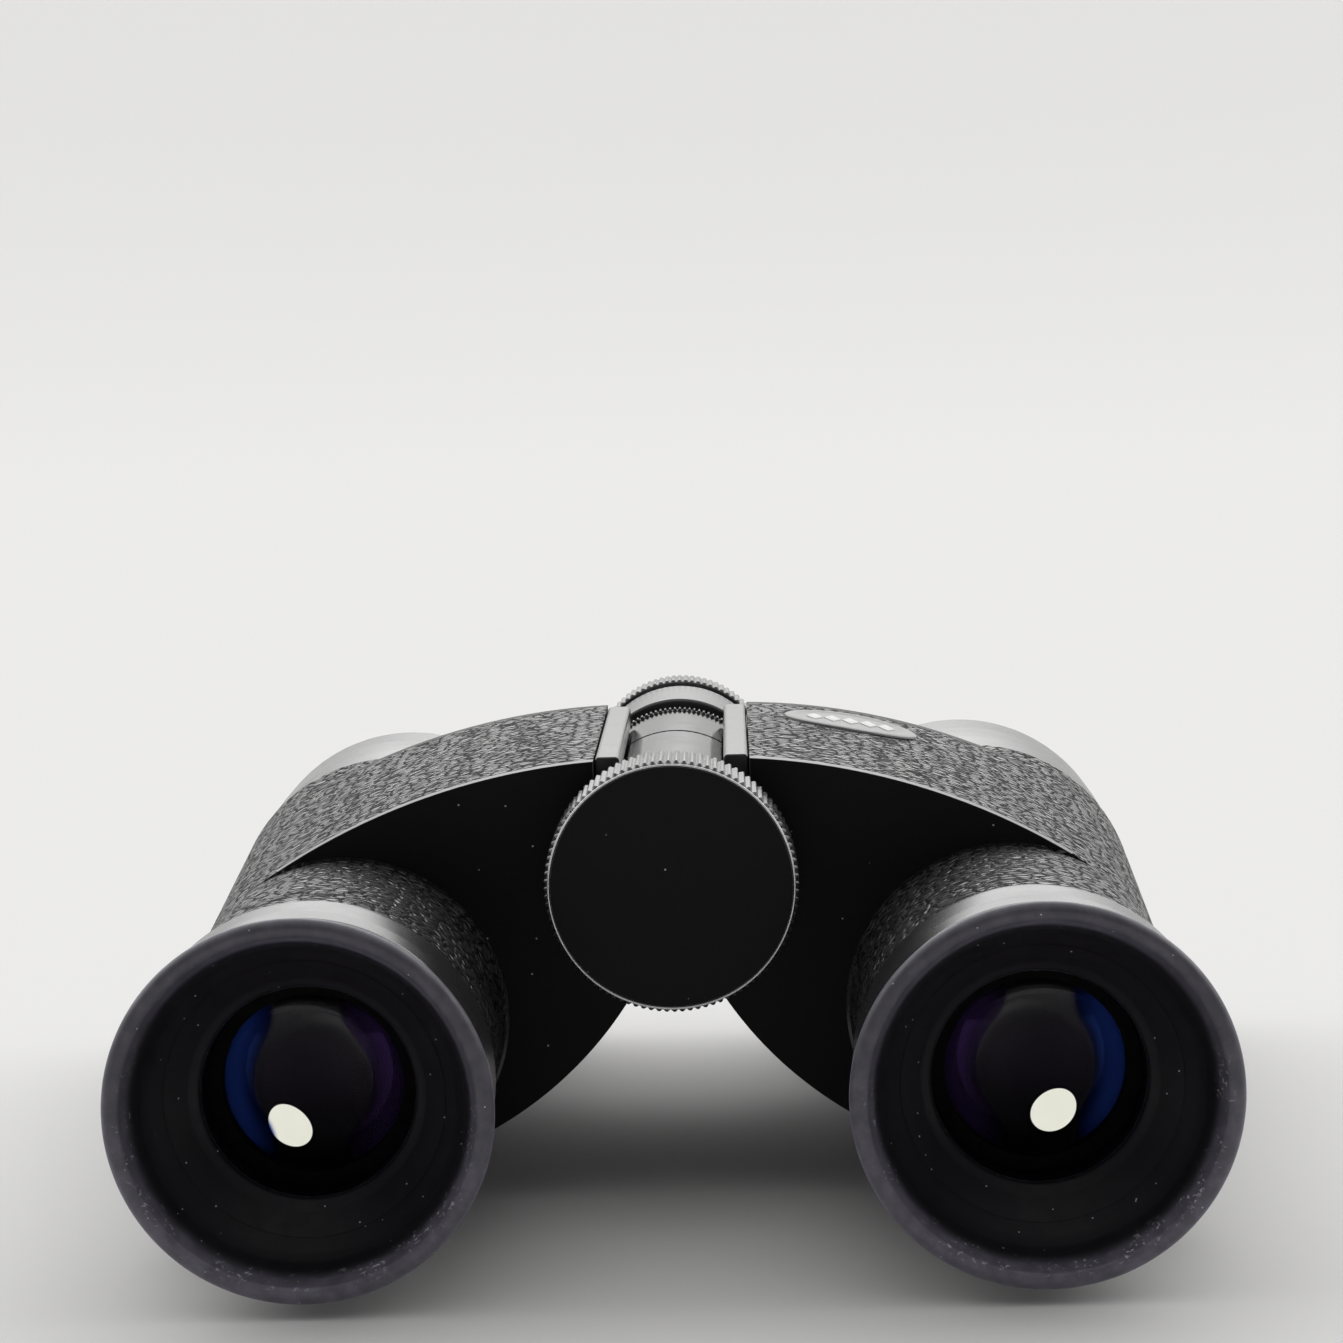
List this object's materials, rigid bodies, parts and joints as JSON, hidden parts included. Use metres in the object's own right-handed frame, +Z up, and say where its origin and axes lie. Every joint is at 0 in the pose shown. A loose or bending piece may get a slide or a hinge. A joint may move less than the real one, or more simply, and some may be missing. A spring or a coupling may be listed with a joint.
{
  "type": "binoculars",
  "caption": "Compact roof-prism binoculars with two hinged barrels, soft eyecups, central focus wheel and dioptre wheel.",
  "frame": {"origin": "middle of the whole object's footprint, on the surface that it rests on", "axes": "+Y from the eyecups to the objectives, +Z up with the hinge uppermost, +X towards the right half as seen by the user"},
  "size_m": [0.102, 0.1102, 0.0454],
  "materials": {
    "black_casting": "glossy black lacquer",
    "leatherette": "embossed grain, semi-matt",
    "matt_black_plate": "deep matt black",
    "satin_rail": "satin black lacquer",
    "satin_black": "satin black lacquer",
    "anodised_black": "matt black anodised",
    "eyecup_rubber": "soft matt, lightly scuffed",
    "knurled_black": "black anodised, straight knurled",
    "coated_glass": "blue-violet coating",
    "prism_glass": "polished",
    "brass_drive": "machined",
    "plain_steel": "ground",
    "blackened_steel": "blackened",
    "badge_metal": "satin silver"
  },
  "bodies": {
    "left_half": {"left_shell": "black_casting", "left_leather": "leatherette", "left_rear_plate": "matt_black_plate", "left_front_plate": "matt_black_plate", "left_flank_rail": "satin_rail", "left_eyecup": "eyecup_rubber", "left_ocular_ring": "satin_black", "left_eyepiece_sleeve": "anodised_black", "left_eye_lens_ring": "anodised_black", "left_eye_lens": "coated_glass", "left_lens_spacer": "anodised_black", "left_field_lens": "coated_glass", "left_field_stop": "anodised_black", "left_prism_cage": "anodised_black", "left_roof_prism": "prism_glass", "left_half_penta_prism": "prism_glass", "left_objective_bell": "satin_black", "left_objective_flint": "coated_glass", "left_objective_crown": "coated_glass", "left_objective_ring": "anodised_black", "left_strap_lug": "blackened_steel", "axle_tube": "plain_steel", "spindle_bush": "brass_drive", "hinge_washer": "satin_black", "hinge_nut": "blackened_steel", "dioptre_collar": "satin_black"},
    "right_half": {"right_shell": "black_casting", "right_leather": "leatherette", "right_rear_plate": "matt_black_plate", "right_front_plate": "matt_black_plate", "right_flank_rail": "satin_rail", "right_eyecup": "eyecup_rubber", "right_ocular_ring": "satin_black", "right_eyepiece_sleeve": "anodised_black", "right_eye_lens_ring": "anodised_black", "right_eye_lens": "coated_glass", "right_lens_spacer": "anodised_black", "right_field_lens": "coated_glass", "right_field_stop": "anodised_black", "right_prism_cage": "anodised_black", "right_roof_prism": "prism_glass", "right_half_penta_prism": "prism_glass", "right_objective_bell": "satin_black", "right_objective_flint": "coated_glass", "right_objective_crown": "coated_glass", "right_objective_ring": "anodised_black", "right_strap_lug": "blackened_steel", "badge": "badge_metal"},
    "focus_wheel": {"focus_wheel": "knurled_black", "focus_wheel_cap": "matt_black_plate", "focus_spindle": "plain_steel"},
    "focus_carriage": {"focus_carriage": "anodised_black"},
    "left_focusing": {"left_focus_arm": "brass_drive", "left_focusing_cell": "anodised_black", "left_focusing_lens": "coated_glass"},
    "right_focus_arm": {"right_focus_arm": "brass_drive"},
    "right_focusing": {"right_focusing_cell": "anodised_black", "right_focusing_lens": "coated_glass"},
    "dioptre_wheel": {"dioptre_wheel": "knurled_black", "dioptre_shaft": "blackened_steel"}
  },
  "joints": [
    {"name": "bridge_hinge", "type": "hinge", "parent": "left_half", "child": "right_half", "pos_m": [0, 0.0029, 0.0335], "axis": [0, 1, 0], "range_deg": [-46, 30]},
    {"name": "focus_wheel_spin", "type": "hinge", "parent": "left_half", "child": "focus_wheel", "pos_m": [0, -0.0291, 0.0335], "axis": [0, 1, 0], "range_deg": [-200, 200]},
    {"name": "focus_carriage_slide", "type": "slide", "parent": "left_half", "child": "focus_carriage", "axis": [0, 1, 0], "range_m": [-0.00251, 0.00251]},
    {"name": "left_focusing_slide", "type": "slide", "parent": "left_half", "child": "left_focusing", "axis": [0, 1, 0], "range_m": [-0.00251, 0.00251]},
    {"name": "right_arm_slide", "type": "slide", "parent": "right_half", "child": "right_focus_arm", "axis": [0, 1, 0], "range_m": [-0.00251, 0.00251]},
    {"name": "right_focusing_slide", "type": "slide", "parent": "right_focus_arm", "child": "right_focusing", "axis": [0, 1, 0], "range_m": [-0.00121, 0.00121]},
    {"name": "dioptre_wheel_spin", "type": "hinge", "parent": "left_half", "child": "dioptre_wheel", "pos_m": [0, 0.0449, 0.0335], "axis": [0, 1, 0], "range_deg": [-120, 120]}
  ],
  "couplings": [
    {"joint": "focus_carriage_slide", "follows": "focus_wheel_spin", "m_per_rad": 0.0007162},
    {"joint": "left_focusing_slide", "follows": "focus_wheel_spin", "m_per_rad": 0.0007162},
    {"joint": "right_arm_slide", "follows": "focus_wheel_spin", "m_per_rad": 0.0007162},
    {"joint": "right_focusing_slide", "follows": "dioptre_wheel_spin", "m_per_rad": 0.00057296}
  ]
}
